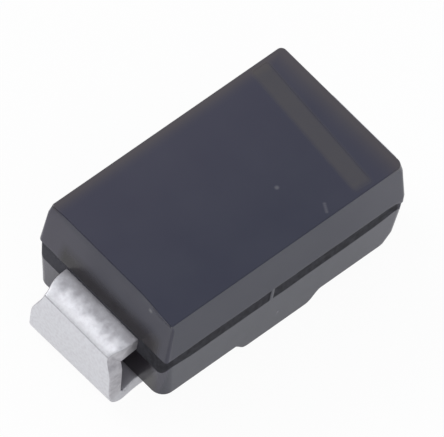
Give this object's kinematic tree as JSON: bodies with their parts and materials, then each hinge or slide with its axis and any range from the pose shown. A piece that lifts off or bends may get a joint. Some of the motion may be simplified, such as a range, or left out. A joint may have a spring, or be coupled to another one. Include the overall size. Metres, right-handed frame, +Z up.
{
  "type": "surface-mount fast recovery diode",
  "caption": "Surface-mount diode: a dark moulded block with a cathode band on top and tinned strip terminals folded under its ends, to rectify fast-switching currents on a circuit board.",
  "frame": {"origin": "centre of the footprint, on the board surface that the feet stand on", "axes": "+X along the body to the cathode, the end with the band; +Y across the body; +Z up from the board"},
  "size_m": [0.0052, 0.0026, 0.002],
  "materials": {
    "epoxy": "satin moulded epoxy, dark blue grey",
    "tin_plate": "pale matte tin over copper strip",
    "silicon": "grey diced silicon",
    "solder": "dull grey solder"
  },
  "bodies": {
    "root": {"moulded_body": "epoxy", "anode_terminal": "tin_plate", "cathode_terminal": "tin_plate", "silicon_chip": "silicon", "upper_solder": "solder", "lower_solder": "solder"}
  },
  "joints": []
}
